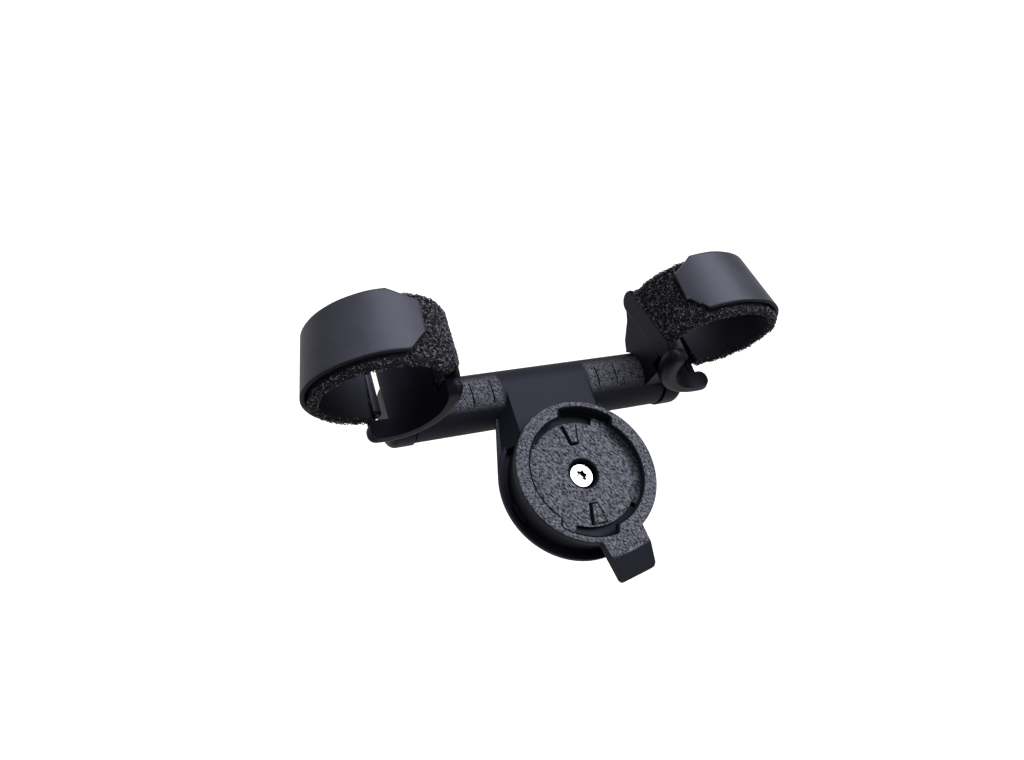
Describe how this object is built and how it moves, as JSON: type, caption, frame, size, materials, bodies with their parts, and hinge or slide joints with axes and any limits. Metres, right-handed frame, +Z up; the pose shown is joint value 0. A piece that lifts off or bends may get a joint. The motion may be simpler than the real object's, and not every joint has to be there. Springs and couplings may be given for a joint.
{
  "type": "bike computer mount",
  "caption": "Crossbar mount with a quarter-turn cradle for a bike computer, held between two extension bars by strapped rubber saddles.",
  "frame": {"origin": "on the crossbar's axis, in the middle of the arm", "axes": "+X along the crossbar, +Y towards the rider, +Z up, square to the cradle's face"},
  "size_m": [0.1175, 0.0671, 0.0397],
  "materials": {
    "grained_plastic": "fine moulded grain",
    "bright_steel": "zinc plated, bright",
    "saddle_rubber": "smooth satin",
    "pile_fabric": "looped pile",
    "hook_tape": "close smooth weave"
  },
  "bodies": {
    "mount": {"crossbar": "grained_plastic", "cradle": "grained_plastic", "cradle_screw": "bright_steel", "cradle_nut": "bright_steel"},
    "left_saddle": {"left_saddle": "saddle_rubber", "left_pile_band": "pile_fabric", "left_hook_tail": "hook_tape"},
    "right_saddle": {"right_saddle": "saddle_rubber", "right_pile_band": "pile_fabric", "right_hook_tail": "hook_tape"}
  },
  "joints": [
    {"name": "left_swivel", "type": "hinge", "parent": "mount", "child": "left_saddle", "pos_m": [0, 0, 0], "axis": [1, 0, 0], "range_deg": [-90, 90]},
    {"name": "right_swivel", "type": "hinge", "parent": "mount", "child": "right_saddle", "pos_m": [0, 0, 0], "axis": [1, 0, 0], "range_deg": [-90, 90]}
  ]
}
